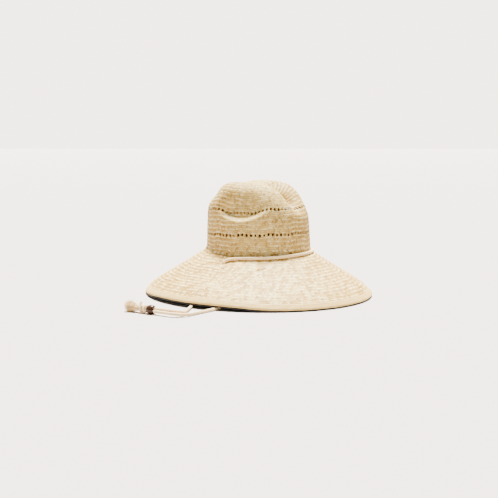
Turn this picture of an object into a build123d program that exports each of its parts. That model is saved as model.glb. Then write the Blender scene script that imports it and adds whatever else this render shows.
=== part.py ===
from build123d import *
import math
import os

# Straw sun hat with a chin cord. Millimetres, +Z up, the hat's front towards -Y and the
# wearer's right towards -X. The origin is on the floor, under the middle of the hat.
# An azimuth is in degrees from the front, and is negative towards the wearer's right.

# ---- driving dimensions -----------------------------------------------------------------
HEAD_Y = 102.0            # crown base, outer half length, front to back
HEAD_X = 85.0             # crown base, outer half width
BASE_Z = 84.0             # height of the crown's base above the floor
CROWN_TOP_Z = 213.0
STRAW = 2.0               # thickness of the woven straw

BRIM_WIDTH = 118.0        # seen from above, from the crown's base to the brim's edge
BRIM_FALL = 78.0          # how the brim falls over its width: a straight fall, less a flare,
BRIM_FLARE = 7.0
EDGE_DROOP = 11.0         # and a droop that only the last tenth of it has
DROOP_POWER = 10
EDGE_LIFT = 6.7           # the strands run out under the brim here and hold its edge up
LIFT_AZIMUTH = -94.0
LIFT_SPREAD = 36.0

CROWN_TAPER = 0.05
SHOULDER_POWER = 4.5      # how square the crown's shoulder is
CROWN_LEAN = 8.0          # the top sits this much further back than the base
CREASE_RADIUS = 36.0      # lengthwise crease on top, which falls towards the front
CREASE_DEPTH = 17.0
CREASE_SLOPE = 7.0
DENT_HALF_AXES = (30.0, 62.0, 33.0)   # each side dent is part of an ellipsoid
DENT_DEPTH = 11.0
DENT_Y = -10.0
DENT_Z = 182.0

SWEATBAND_HEIGHT = 23.0
SWEATBAND_THICKNESS = 1.0
LINING_THICKNESS = 1.0
TAPE_THICKNESS = 0.8
WIRE_RADIUS = 0.6
JOINER_RADIUS = 1.0
JOINER_BORE_RADIUS = 0.72
JOINER_LENGTH = 10.0
PIPING_RADIUS = 1.0

CORD = 5.5                # cord diameter
CORD_REST_Z = 2.9         # height of the cord's centre where it lies on the floor
HOLE_OFFSET = 23.0        # ear holes, out from the crown's base
HOLE_RADIUS = 3.2
HOLE_EXIT_Z = 64.6        # where the cord leaves the ear holes, under the brim

BEAD_CENTRE = (-286.0, 22.0, 8.2)
BEAD_RADIUS = 8.2
BEAD_END_RADIUS = 6.9
BEAD_LENGTH = 14.0
BEAD_BORE_RADIUS = 5.8
BEAD_TRAVEL = 24.0        # along -Y, away from the knot
PAIR_TILT = 50.0          # the two strands fill the bore side by side, leaning by this angle
KNOT_GAP = 0.3            # between the bead at rest and the knot
KNOT_LENGTH = 21.0
KNOT_RADIUS = 7.4
TASSEL_LENGTH = 30.0
TASSEL_NECK_RADIUS = 5.6
TASSEL_END_RADIUS = 10.0

RING_POINTS = 24          # points on each closed curve round the hat
GAP = 0.15                # between the straw and the tape folded over it
LINING_GAP = 0.5          # between the straw and the facing under it

os.makedirs("parts", exist_ok=True)


def finish(part, name):
    """Label a finished sub-part and write it."""
    part.label = name
    export_step(part, f"parts/{name}.step")


# ---- curves round the hat ---------------------------------------------------------------
def brim_profile(t, h=0.0):
    """(offset out from the crown's base, height) at the share t of the brim's width.

    h is the distance above the top of the woven straw, square to it."""
    z = BASE_Z - BRIM_FALL * t + BRIM_FLARE * t**2 - EDGE_DROOP * t**DROOP_POWER
    fall = BRIM_FALL - 2 * BRIM_FLARE * t + DROOP_POWER * EDGE_DROOP * t ** (DROOP_POWER - 1)
    slope = fall / BRIM_WIDTH
    length = math.hypot(1.0, slope)
    return BRIM_WIDTH * t + h * slope / length, z + h / length


def edge_lift(azimuth):
    away = (azimuth - LIFT_AZIMUTH + 180) % 360 - 180
    return EDGE_LIFT * math.exp(-((away / LIFT_SPREAD) ** 4))


def on_hat(azimuth, offset, z):
    """The point at this offset from the crown's base, raised as the brim's edge is."""
    turn = math.radians(azimuth)
    lift = edge_lift(azimuth) * max(0.0, offset / BRIM_WIDTH) ** 3
    return ((HEAD_X + offset) * math.sin(turn), -(HEAD_Y + offset) * math.cos(turn), z + lift)


def ring(section):
    """The solid that a closed section of (offset, z) points makes on its way round the hat."""
    curves = []
    for offset, z in section:
        points = [Vector(*on_hat(360.0 * i / RING_POINTS, offset, z)) for i in range(RING_POINTS)]
        curves.append(Edge.make_spline(points, periodic=True))
    sides = [Face.make_surface_from_curves(a, b) for a, b in zip(curves, curves[1:] + curves[:1])]
    return Solid(Shell(sides))


def round_section(offset, z, radius, corners=6):
    """A round section as an even polygon, with a corner at its top and one at its bottom."""
    turns = [2 * math.pi * (i + 0.5) / corners for i in range(corners)]
    return [(offset + radius * math.cos(a), z + radius * math.sin(a)) for a in turns]


# ---- crown ------------------------------------------------------------------------------
CROWN_LEVELS = (0.0, 0.15, 0.3, 0.45, 0.58, 0.7, 0.8, 0.88, 0.94, 0.975, 0.993)
WALL_START = 6.0          # the crown's wall is straight for this much above its base


def filled_crown(inset, bottom_z):
    """The crown as a filled solid, smaller by inset all round."""
    height = CROWN_TOP_Z - BASE_Z - WALL_START
    with BuildPart() as crown:
        with BuildSketch(Plane.XY.offset(bottom_z)):
            Ellipse(HEAD_X - inset, HEAD_Y - inset)
        for u in CROWN_LEVELS:
            size = (1 - u**SHOULDER_POWER) ** 0.25 * (1 - CROWN_TAPER * u)
            with BuildSketch(Plane.XY.offset(BASE_Z + WALL_START + u * height - inset * u)):
                with Locations((0, CROWN_LEAN * u**2)):
                    Ellipse(HEAD_X * size - inset, HEAD_Y * size - inset)
        loft()
    return crown.part


def dents(grow):
    """The crease on top and the two side dents, as one solid to cut away, larger by grow."""
    crease_z = CROWN_TOP_Z - CREASE_DEPTH + CREASE_RADIUS
    forward = (0, -1, -math.tan(math.radians(CREASE_SLOPE)))
    side_x = HEAD_X * 0.93 - DENT_DEPTH + DENT_HALF_AXES[0]
    ball = scale(Sphere(1.0), by=tuple(a + grow for a in DENT_HALF_AXES))
    with BuildPart() as tools:
        with BuildSketch(Plane(origin=(0, 0, crease_z), x_dir=(1, 0, 0), z_dir=forward)):
            Circle(CREASE_RADIUS + grow)
        extrude(amount=160, both=True)
        for side in (-1, 1):
            add(Pos(side * side_x, DENT_Y, DENT_Z) * ball)
    return tools.part


# ---- woven body: crown and brim in one --------------------------------------------------
STRAW_END = 0.965         # share of the brim's width at which the straw itself ends
BRIM_STATIONS = (0.02, 0.45, 0.8, 0.91, STRAW_END)

straw_top = [brim_profile(t) for t in BRIM_STATIONS]
straw_under = [brim_profile(t, -STRAW) for t in reversed(BRIM_STATIONS)]
crown_seat = [(-3.0, BASE_Z - 3.5), (-3.0, BASE_Z + 2), (0.5, BASE_Z + 2)]
outer_crown = filled_crown(0.0, BASE_Z) - dents(0.0)
inner_crown = filled_crown(STRAW, BASE_Z - 12) - dents(STRAW)

with BuildPart() as woven_body:
    add(outer_crown)
    add(inner_crown, mode=Mode.SUBTRACT)
    add(ring(straw_top + straw_under + crown_seat))
    with BuildSketch(Plane.XY.offset(HOLE_EXIT_Z - 10)):
        with Locations((-HEAD_X - HOLE_OFFSET, 0), (HEAD_X + HOLE_OFFSET, 0)):
            Circle(HOLE_RADIUS)
    extrude(amount=30, mode=Mode.SUBTRACT)
finish(woven_body.part, "woven_body")

# ---- black facing under the brim --------------------------------------------------------
LINING_STATIONS = (0.1, 0.45, 0.8, 0.9)
lining_near = [brim_profile(t, -STRAW - LINING_GAP) for t in LINING_STATIONS]
lining_far = [brim_profile(t, -STRAW - LINING_GAP - LINING_THICKNESS) for t in reversed(LINING_STATIONS)]

with BuildPart() as underbrim_lining:
    add(ring(lining_near + lining_far))
    with BuildSketch(Plane.XY.offset(HOLE_EXIT_Z - 10)):
        with Locations((-HEAD_X - HOLE_OFFSET, 0), (HEAD_X + HOLE_OFFSET, 0)):
            Circle(HOLE_RADIUS)
    extrude(amount=30, mode=Mode.SUBTRACT)
finish(underbrim_lining.part, "underbrim_lining")

# ---- the brim's edge: folded tape, the wire in its fold, and the piping -----------------
TAPE_STATIONS = (0.925, 0.955, 0.983)
FOLD_END = 0.988
WIRE_AT = 0.975

tape_outside = [brim_profile(t, GAP + TAPE_THICKNESS) for t in TAPE_STATIONS[:-1]]
fold_outside = [
    brim_profile(FOLD_END, GAP + TAPE_THICKNESS),
    brim_profile(FOLD_END, -STRAW - GAP - TAPE_THICKNESS),
]
tape_below = [brim_profile(t, -STRAW - GAP - TAPE_THICKNESS) for t in reversed(TAPE_STATIONS[:-1])]
inside_below = [brim_profile(t, -STRAW - GAP) for t in TAPE_STATIONS]
inside_above = [brim_profile(t, GAP) for t in reversed(TAPE_STATIONS)]

with BuildPart() as edge_binding:
    add(ring(tape_outside + fold_outside + tape_below + inside_below + inside_above))
finish(edge_binding.part, "edge_binding")

wire_offset, wire_z = brim_profile(WIRE_AT, -STRAW / 2)
with BuildPart() as edge_wire:
    add(ring(round_section(wire_offset, wire_z, WIRE_RADIUS, 4)))
finish(edge_wire.part, "edge_wire")

wire_bend = (HEAD_X + wire_offset) ** 2 / (HEAD_Y + wire_offset)
joiner_y = HEAD_Y + wire_offset - JOINER_LENGTH**2 / (16 * wire_bend)
with BuildPart() as wire_joiner:
    with BuildSketch(Plane(origin=(-JOINER_LENGTH / 2, joiner_y, wire_z), z_dir=(1, 0, 0))):
        Circle(JOINER_RADIUS)
        Circle(JOINER_BORE_RADIUS, mode=Mode.SUBTRACT)
    extrude(amount=JOINER_LENGTH)
finish(wire_joiner.part, "wire_joiner")

PIPING_OUT = 0.8          # the piping's middle stands out from the fold by this
piping_offset = brim_profile(FOLD_END, -STRAW - GAP - TAPE_THICKNESS)[0] + PIPING_OUT
with BuildPart() as edge_piping:
    add(ring(round_section(piping_offset, PIPING_RADIUS, PIPING_RADIUS)))
finish(edge_piping.part, "edge_piping")

# ---- sweatband --------------------------------------------------------------------------
band_bottom_z = BASE_Z + 2.5
band_top_z = band_bottom_z + SWEATBAND_HEIGHT
band_near = -STRAW - 0.4
band_section = [
    (band_near, band_bottom_z),
    (band_near - SWEATBAND_THICKNESS, band_bottom_z),
    (band_near - SWEATBAND_THICKNESS - 1.2, band_top_z),
    (band_near - 1.2, band_top_z),
]
with BuildPart() as sweatband:
    add(ring(band_section))
finish(sweatband.part, "sweatband")


# ---- cord -------------------------------------------------------------------------------
def corner_radii(points):
    """The largest tangent arcs that the runs of a route leave room for."""
    radii = []
    for before, at, after in zip(points, points[1:], points[2:]):
        run_in = Vector(*at) - Vector(*before)
        run_out = Vector(*after) - Vector(*at)
        half_turn = math.radians(run_in.get_angle(run_out)) / 2
        radii.append(0.45 * min(run_in.length, run_out.length) / math.tan(half_turn))
    return radii


def cord_tube(name, points):
    """A cord along straight runs that tangent arcs join, written as the sub-part name."""
    radii = corner_radii(points)
    with BuildPart() as tube:
        with BuildLine() as route:
            FilletPolyline(*points, radius=radii)
        path = route.wire()
        with BuildSketch(Plane(origin=path @ 0, z_dir=path % 0)):
            Circle(CORD / 2)
        sweep(path=path)
    length = path.length
    ideal = math.pi * (CORD / 2) ** 2 * length
    print(f"{name}: length {length:.0f}, volume {tube.part.volume / ideal:.3f} of section x length")
    print("  radii", [round(r, 1) for r in radii])
    finish(tube.part, name)


CORD_ON_BRIM = 0.78       # height of the cord's centre over the sloping brim, in cord diameters
CORD_AT_HOLE = 0.8


def on_brim(azimuth, offset):
    """Where the cord's centre is when the cord lies on top of the brim."""
    x, y, _ = on_hat(azimuth, offset, 0)
    return x, y, brim_profile(offset / BRIM_WIDTH)[1] + CORD * CORD_ON_BRIM


hole_x = HEAD_X + HOLE_OFFSET
bend_z = brim_profile(HOLE_OFFSET / BRIM_WIDTH)[1] + CORD * CORD_AT_HOLE
cord_band_route = [
    (-hole_x, 0, HOLE_EXIT_Z),
    (-hole_x, 0, bend_z),
    on_brim(-82, 15.5),
    on_brim(-64, 13.5),
    on_brim(-48, 12.0),
    on_brim(-32, 9.5),
    on_brim(-16, 7.5),
    on_brim(0, 6.6),
    on_brim(16, 6.4),
    on_brim(32, 6.8),
    on_brim(48, 8.0),
    on_brim(64, 10.5),
    on_brim(82, 15.5),
    (hole_x, 0, bend_z),
    (hole_x, 0, HOLE_EXIT_Z),
]
cord_tube("cord_band", cord_band_route)

bead_x, bead_y, bead_z = BEAD_CENTRE
pair_x = CORD / 2 * math.cos(math.radians(PAIR_TILT))
pair_z = CORD / 2 * math.sin(math.radians(PAIR_TILT))
knot_y = bead_y + BEAD_LENGTH / 2 + KNOT_GAP
straight_from_y = bead_y - BEAD_LENGTH / 2 - BEAD_TRAVEL
left_x, left_z = bead_x - pair_x, bead_z - pair_z
right_x, right_z = bead_x + pair_x, bead_z + pair_z

# From the right ear hole down to the floor, round a slack loop under the hat, and out.
cord_right_route = [
    (-hole_x, 0, HOLE_EXIT_Z),
    (-hole_x, 0, 31),
    (-99, 16, 8),
    (-77, 36, CORD_REST_Z),
    (-48, 60, CORD_REST_Z),
    (-50, 96, CORD_REST_Z),
    (-84, 114, CORD_REST_Z),
    (-124, 100, CORD_REST_Z),
    (-146, 66, CORD_REST_Z),
    (-163, 30, CORD_REST_Z),
    (-193, 6, CORD_REST_Z),
    (-228, -8, CORD_REST_Z + 0.2),
    (-261, -31, 7.3),
    (right_x, straight_from_y - 12, right_z),
    (right_x, knot_y, right_z),
]
cord_tube("cord_right", cord_right_route)

# From the left ear hole down to the floor, across under the hat, and out.
cord_left_route = [
    (hole_x, 0, HOLE_EXIT_Z),
    (hole_x, 0, 31),
    (99, -16, 8),
    (76, -36, CORD_REST_Z),
    (28, -58, CORD_REST_Z),
    (-28, -64, CORD_REST_Z),
    (-82, -52, CORD_REST_Z),
    (-140, -43, CORD_REST_Z),
    (-200, -47, CORD_REST_Z),
    (-244, -43, CORD_REST_Z),
    (-275, -42, 4.2),
    (left_x, straight_from_y - 18, left_z),
    (left_x, knot_y, left_z),
]
cord_tube("cord_left", cord_left_route)

# ---- knot, tassel and bead --------------------------------------------------------------
cord_axis = Axis((bead_x, bead_y, bead_z), (0, 1, 0))


def half_plane(y):
    """A plane through the cord's axis: its X runs along the axis from y, its Y outwards."""
    return Plane(origin=(bead_x, y, bead_z), x_dir=(0, 1, 0), z_dir=(1, 0, 0))


with BuildPart() as cord_knot:
    with BuildSketch(half_plane(knot_y)):
        with Locations((KNOT_LENGTH / 2, 0)):
            Rectangle(KNOT_LENGTH, 2 * CORD)
        with Locations((KNOT_LENGTH * 0.27, 0), (KNOT_LENGTH * 0.7, 0)):
            Ellipse(KNOT_LENGTH * 0.26, KNOT_RADIUS)
        with Locations((KNOT_LENGTH / 2, -KNOT_RADIUS)):
            Rectangle(2 * KNOT_LENGTH, 2 * KNOT_RADIUS, mode=Mode.SUBTRACT)
    revolve(axis=cord_axis)
finish(cord_knot.part, "cord_knot")

tassel_y = knot_y + KNOT_LENGTH
with BuildPart() as cord_tassel:
    tassel_planes = (
        (tassel_y, bead_z, TASSEL_NECK_RADIUS),
        (tassel_y + TASSEL_LENGTH * 0.4, bead_z + 0.8, TASSEL_END_RADIUS - 1.5),
        (tassel_y + TASSEL_LENGTH, TASSEL_END_RADIUS + 0.2, TASSEL_END_RADIUS),
    )
    for y, z, radius in tassel_planes:
        with BuildSketch(Plane(origin=(bead_x, y, z), z_dir=(0, 1, 0))):
            Circle(radius)
    loft(ruled=True)
finish(cord_tassel.part, "cord_tassel")

with BuildPart() as chin_bead:
    with BuildSketch(half_plane(bead_y)):
        with BuildLine():
            Polyline(
                (-BEAD_LENGTH / 2, BEAD_END_RADIUS),
                (-BEAD_LENGTH / 2, BEAD_BORE_RADIUS),
                (BEAD_LENGTH / 2, BEAD_BORE_RADIUS),
                (BEAD_LENGTH / 2, BEAD_END_RADIUS),
            )
            ThreePointArc(
                (-BEAD_LENGTH / 2, BEAD_END_RADIUS), (0, BEAD_RADIUS), (BEAD_LENGTH / 2, BEAD_END_RADIUS)
            )
        make_face()
    revolve(axis=cord_axis)
finish(chin_bead.part, "chin_bead")
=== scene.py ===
"""The looks of a straw sun hat with a chin cord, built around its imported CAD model.

Sizes and places are in millimetres, as in the CAD model's source, and MM turns them into
Blender's metres. +Z is up, the hat's front is towards -Y, the wearer's right towards -X.
An azimuth is in degrees from the front, negative towards the wearer's right.
"""

import math

import bpy
import numpy as np
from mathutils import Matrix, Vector


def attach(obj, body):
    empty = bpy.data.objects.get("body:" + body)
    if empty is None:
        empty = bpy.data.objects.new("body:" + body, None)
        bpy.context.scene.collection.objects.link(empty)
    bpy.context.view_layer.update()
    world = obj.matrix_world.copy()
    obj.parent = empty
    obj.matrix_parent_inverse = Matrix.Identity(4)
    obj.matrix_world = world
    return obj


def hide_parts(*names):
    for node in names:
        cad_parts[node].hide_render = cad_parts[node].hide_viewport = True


MM = 0.001
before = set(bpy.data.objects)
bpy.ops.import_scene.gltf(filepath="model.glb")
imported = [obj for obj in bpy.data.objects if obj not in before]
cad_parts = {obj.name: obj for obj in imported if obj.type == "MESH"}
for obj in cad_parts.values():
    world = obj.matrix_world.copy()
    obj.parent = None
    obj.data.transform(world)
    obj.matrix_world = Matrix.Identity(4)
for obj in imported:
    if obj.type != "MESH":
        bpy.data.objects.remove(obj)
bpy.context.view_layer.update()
chance = np.random.default_rng(11)

# ---- the hat's driving dimensions, as in the CAD model ----
HEAD_Y, HEAD_X = 102.0, 85.0
BASE_Z, CROWN_TOP_Z, WALL_START = 84.0, 213.0, 6.0
BRIM_WIDTH, BRIM_FALL, BRIM_FLARE = 118.0, 78.0, 7.0
EDGE_DROOP, DROOP_POWER = 11.0, 10
EDGE_LIFT, LIFT_AZIMUTH, LIFT_SPREAD = 6.7, -94.0, 36.0
CROWN_TAPER, SHOULDER_POWER, CROWN_LEAN = 0.05, 4.5, 8.0
STRAW_END = 0.965
HOLE_OFFSET, HOLE_RADIUS, HOLE_EXIT_Z = 23.0, 3.2, 64.6
CORD, CORD_REST_Z = 5.5, 2.9
BEAD_CENTRE = (-286.0, 22.0, 8.2)
BEAD_LENGTH, KNOT_GAP, KNOT_LENGTH, PAIR_TILT = 14.0, 0.3, 21.0, 50.0
TASSEL_LENGTH, TASSEL_NECK_RADIUS, TASSEL_END_RADIUS = 30.0, 5.6, 10.0
MEAN_HEAD = (HEAD_X + HEAD_Y) / 2


# ---- camera ----
VIEW_AZIMUTH, VIEW_ELEVATION = -55.0, 6.81
VIEW_DISTANCE, VIEW_HEIGHT = 2200.0, 110.0
VIEW_RIGHT, VIEW_UP = -17.0, -26.3  # where the camera aims, beside the hat's middle
SENSOR, LENS = 36.0, 84.5241


def link(name, data):
    """A new object that holds this mesh, curve, camera or light."""
    thing = bpy.data.objects.new(name, data)
    bpy.context.scene.collection.objects.link(thing)
    return thing


def add_camera():
    a, e = math.radians(VIEW_AZIMUTH), math.radians(VIEW_ELEVATION)
    back = Vector((math.sin(a) * math.cos(e), -math.cos(a) * math.cos(e), math.sin(e)))
    right = Vector((math.cos(a), math.sin(a), 0))
    middle = Vector((0, 0, VIEW_HEIGHT))
    place = middle + back * VIEW_DISTANCE
    aim = middle + right * VIEW_RIGHT + back.cross(right) * VIEW_UP
    data = bpy.data.cameras.new("camera")
    data.sensor_width = SENSOR
    data.lens = LENS
    camera = link("camera", data)
    camera.location = place * MM
    camera.rotation_mode = "QUATERNION"
    camera.rotation_quaternion = (aim - place).to_track_quat("-Z", "Y")
    bpy.context.scene.camera = camera


# ---- node helpers ----
class Nodes:
    """A material's node tree, with a short way to add and join nodes."""

    def __init__(self, name, roughness, metallic=0.0, specular=0.5, more=None):
        self.material = bpy.data.materials.new(name)
        self.material.use_nodes = True
        self.tree = self.material.node_tree
        self.shader = self.tree.nodes["Principled BSDF"]
        inputs = {"Roughness": roughness, "Metallic": metallic, "Specular IOR Level": specular}
        self.fill(self.shader, {**inputs, **(more or {})})

    def fill(self, node, inputs):
        """Set a node's inputs to these values, or join them to these output sockets."""
        for key, value in inputs.items():
            if isinstance(value, bpy.types.NodeSocket):
                self.tree.links.new(value, node.inputs[key])
            else:
                node.inputs[key].default_value = value

    def add(self, kind, inputs=None, **settings):
        """A node with these settings and inputs."""
        node = self.tree.nodes.new("ShaderNode" + kind)
        for key, value in settings.items():
            setattr(node, key, value)
        self.fill(node, inputs or {})
        return node

    def math(self, operation, *values):
        """The output of a math node on sockets or numbers."""
        return self.add("Math", dict(enumerate(values)), operation=operation).outputs[0]

    def step(self, value, low, high, to_low=0.0, to_high=1.0):
        """A smooth step of value from low to high."""
        inputs = {"Value": value, "From Min": low, "From Max": high, "To Min": to_low, "To Max": to_high}
        return self.add("MapRange", inputs, interpolation_type="SMOOTHSTEP").outputs["Result"]

    def ramp(self, factor, *stops):
        """A colour ramp with stops of (place, colour)."""
        node = self.add("ValToRGB", {"Fac": factor})
        elements = node.color_ramp.elements
        while len(elements) < len(stops):
            elements.new(1.0)
        for element, (place, colour) in zip(elements, stops):
            element.position = place
            element.color = (*colour, 1)
        return node.outputs["Color"]

    def mix(self, factor, first, second, blend="MIX"):
        """Two colours mixed; each is a socket or a colour."""
        first, second = ((*tone, 1) if isinstance(tone, tuple) else tone for tone in (first, second))
        inputs = {0: factor, 6: first, 7: second}
        return self.add("Mix", inputs, data_type="RGBA", blend_type=blend).outputs[2]

    def place(self):
        """The object's own coordinates, in metres."""
        return self.add("TexCoord").outputs["Object"]

    def noise(self, scale, detail=2.0, stretch=None, place=None):
        """Noise over place, or over the object's own coordinates; stretch scales each axis."""
        place = place or self.place()
        if stretch:
            place = self.add("Mapping", {"Scale": stretch, "Vector": place}).outputs[0]
        return self.add("TexNoise", {"Scale": scale, "Detail": detail, "Vector": place}).outputs["Fac"]

    def sideways(self, azimuth):
        """0 where the surface lies at this azimuth of the hat or opposite it, 1 midway between."""
        a = math.radians(azimuth)
        flat = self.add("VectorMath", {0: self.place(), 1: (1, 1, 0)}, operation="MULTIPLY").outputs[0]
        out = self.add("VectorMath", {0: flat}, operation="NORMALIZE").outputs[0]
        share = self.add("VectorMath", {0: out, 1: (math.cos(a), math.sin(a), 0)}, operation="DOT_PRODUCT")
        return self.math("ABSOLUTE", share.outputs["Value"])

    def weave_uv(self):
        """The two weave coordinates of a piece's UV map."""
        split = self.add("SeparateXYZ", {"Vector": self.add("UVMap", uv_map="weave").outputs["UV"]})
        return split.outputs["X"], split.outputs["Y"]

    def cell_chance(self, u, v, seed):
        """A random value from 0 to 1 for each whole step of u and v."""
        cell = self.add("CombineXYZ", {"X": self.math("FLOOR", u), "Y": self.math("FLOOR", v), "Z": seed})
        inputs = {"Vector": cell.outputs[0]}
        return self.add("TexWhiteNoise", inputs, noise_dimensions="3D").outputs["Value"]

    def edge(self, u):
        """How near u is to a whole number: 0 midway, 1 on it."""
        middle = self.math("SUBTRACT", self.math("FRACT", u), 0.5)
        return self.math("MULTIPLY", self.math("ABSOLUTE", middle), 2.0)

    def finish(self, colour, bump, strength, distance):
        """Join the colour, and a bump height in 0 to 1 that stands distance mm high."""
        node = self.add("Bump", {"Height": bump, "Strength": strength, "Distance": distance * MM})
        self.fill(self.shader, {"Base Color": colour, "Normal": node.outputs["Normal"]})
        return self.material


# ---- materials ----
# Painted sheen and shade: every second half row is painted darker on the hat's sides, for how the slanted
# strands catch the light.
SHEEN_PLAIN_AZIMUTH = -55.0  # the weave's stripes are faintest at this azimuth and opposite it


def straw_material(name, crown_shade_tint, on_brim=(1.0, 0.99, 0.88)):
    """Split straw: strands and bundles of them differ in tone; every second half row is painted darker on
    the hat's sides as painted sheen and shade, and the gaps are painted dark as painted shade. The last two
    arguments tint the crown and the brim; the crown's darker tint is painted shade."""
    n = Nodes(name, roughness=0.55, specular=0.2)
    u, v = n.weave_uv()
    half_u, half_v = n.math("MULTIPLY", u, 0.5), n.math("MULTIPLY", v, 0.5)
    tone = n.ramp(n.cell_chance(u, v, 1.0), (0.0, (0.46, 0.26, 0.05)), (0.2, (0.86, 0.64, 0.22)),
                  (0.7, (0.97, 0.81, 0.38)), (1.0, (1.0, 0.95, 0.68)))
    tone = n.mix(n.step(n.noise(22.0, 3.0), 0.35, 0.7, 0.0, 0.25), tone, (0.84, 0.62, 0.22))
    height = n.add("SeparateXYZ", {"Vector": n.place()}).outputs["Z"]
    foot = (height, (BASE_Z - 6) * MM, (BASE_Z + 12) * MM)
    bundle = n.step(n.cell_chance(half_u, half_v, 9.0), 0.4, 0.85)
    aged = n.math("MULTIPLY", bundle, n.step(*foot, 1.0, 0.55))
    tone = n.mix(aged, tone, (0.60, 0.50, 0.27), "MULTIPLY")
    turned = n.math("GREATER_THAN", n.math("FRACT", half_v), 0.5)
    # Painted sheen and shade: the turned half rows are darkened more the further the surface lies to the
    # side.
    painted_sheen_stripe = n.math("MULTIPLY", turned, n.step(n.sideways(SHEEN_PLAIN_AZIMUTH), 0.3, 0.85, 0.5, 1.0))
    tone = n.mix(painted_sheen_stripe, tone, (0.66, 0.54, 0.35), "MULTIPLY")
    # Painted shade: the gaps between strands, the seams between half rows and a few pinholes at the strands'
    # corners are painted dark, where shade falls between the strands.
    tone = n.mix(n.step(n.edge(u), 0.55, 1.0, 0.0, 0.9), tone, (0.36, 0.19, 0.045))
    tone = n.mix(n.step(n.edge(v), 0.62, 1.0, 0.0, 0.85), tone, (0.38, 0.21, 0.05))
    corner = n.math("MULTIPLY", n.step(n.edge(u), 0.5, 0.75), n.step(n.edge(v), 0.5, 0.75))
    pinhole = n.math("MULTIPLY", corner, n.step(n.cell_chance(u, v, 5.0), 0.86, 0.89))
    tone = n.mix(pinhole, tone, (0.10, 0.05, 0.02))
    fibres = n.noise(1.0, 3.0, place=n.add("UVMap", uv_map="fibre").outputs["UV"])
    # The pale streaks along the fibres are partly the straw's own lighter fibres and partly painted sheen.
    tone = n.mix(n.step(fibres, 0.5, 0.75, 0.0, 0.25), tone, (0.96, 0.85, 0.55))
    # Painted shade: the crown is tinted darker than the brim, and on the inner side both are tinted darker
    # and browner, for the shade they lie in.
    tint = n.mix(n.step(*foot), on_brim, crown_shade_tint)
    return n.finish(n.mix(1.0, tone, tint, "MULTIPLY"), fibres, 0.35, 0.25)


def tape_material():
    """Smooth straw-coloured tape with fine ribs across it, painted darker in the grooves between them as
    painted shade; past the fold its underside is painted black, as painted shade in the gap under the lifted
    brim.
    """
    n = Nodes("straw_tape", roughness=0.62, specular=0.3)
    u, v = n.weave_uv()
    fold = 2.5
    tone = n.ramp(n.cell_chance(u, v, 2.0), (0.0, (0.60, 0.40, 0.11)), (1.0, (0.69, 0.48, 0.15)))
    # Painted shade in the grooves between the ribs.
    tone = n.mix(n.step(n.edge(u), 0.6, 1.0, 0.0, 0.25), tone, (0.48, 0.32, 0.11))
    tone = n.mix(n.step(n.noise(60.0), 0.4, 0.7, 0.0, 0.3), tone, (0.77, 0.57, 0.24))
    # Painted shade: past the fold the underside is painted black for the dark gap under the lifted brim.
    tone = n.mix(n.step(v, fold - 0.1, fold + 0.1), tone, (0.015, 0.015, 0.016))
    return n.finish(tone, n.edge(u), 0.3, 0.1)


def black_material():
    """Plain-woven black cotton, a little worn and dusty."""
    n = Nodes("black_fabric", roughness=0.85, specular=0.25, more={"Sheen Weight": 0.15})
    u, v = n.weave_uv()
    tone = n.ramp(n.cell_chance(u, v, 3.0), (0.0, (0.012, 0.012, 0.013)), (1.0, (0.030, 0.030, 0.032)))
    tone = n.mix(n.step(n.noise(35.0), 0.45, 0.75, 0.0, 0.4), tone, (0.045, 0.043, 0.042))
    threads = n.math("MAXIMUM", n.edge(u), n.edge(v))
    return n.finish(tone, n.math("SUBTRACT", 1.0, threads), 0.5, 0.2)


def cotton_material(name, light, dark):
    """Cotton yarn, with each strand's own tone, fine threads along it, and painted shade in the grooves
    between strands.
    """
    n = Nodes(name, roughness=0.8, specular=0.25, more={"Sheen Weight": 0.1})
    u, v = n.weave_uv()
    tone = n.ramp(n.cell_chance(u, v, 4.0), (0.0, dark), (1.0, light))
    # Painted shade: the grooves between strands are painted darker.
    for across in (u, v):
        tone = n.mix(n.step(n.edge(across), 0.6, 1.0, 0.0, 0.7), tone, tuple(c * 0.5 for c in dark))
    threads = n.math("SINE", n.math("MULTIPLY", n.math("ADD", u, v), 18.0))
    tone = n.mix(n.step(n.noise(90.0), 0.4, 0.75, 0.0, 0.3), tone, light)
    return n.finish(tone, threads, 0.2, 0.08)


def bead_material():
    """Dark turned wood under a clear polish: long streaks of grain along the bore."""
    polish = {"Coat Weight": 0.15, "Coat Roughness": 0.08}
    n = Nodes("bead_wood", roughness=0.3, specular=0.12, more=polish)
    grain = n.noise(1.0, 5.0, (900.0, 90.0, 900.0))
    tone = n.ramp(grain, (0.3, (0.006, 0.002, 0.001)), (0.5, (0.024, 0.007, 0.003)),
                  (0.62, (0.050, 0.016, 0.006)), (0.75, (0.012, 0.004, 0.002)))
    tone = n.mix(n.step(n.noise(150.0), 0.45, 0.7, 0.0, 0.4), tone, (0.055, 0.019, 0.007))
    return n.finish(tone, grain, 0.04, 0.05)


def metal_material(name, colour, roughness):
    """Drawn metal with fine scratches."""
    n = Nodes(name, roughness=roughness, metallic=1.0)
    scratches = n.noise(1.0, 4.0, (400.0, 400.0, 4000.0))
    tone = n.mix(n.step(scratches, 0.4, 0.7, 0.0, 0.4), colour, tuple(c * 0.7 for c in colour))
    return n.finish(tone, scratches, 0.1, 0.05)


# ---- meshes from grids of points ----
def grid_quads(rows, cols, closed_rows=False):
    """The quads of a grid whose columns close round it, and each corner's column and row."""
    i, j = np.meshgrid(np.arange(rows if closed_rows else rows - 1), np.arange(cols), indexing="ij")
    i, j = i.ravel(), j.ravel()
    i, j = np.stack([i, i, i + 1, i + 1], -1), np.stack([j, j + 1, j + 1, j], -1)
    return i % rows * cols + j % cols, np.stack([j, i], -1)


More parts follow.
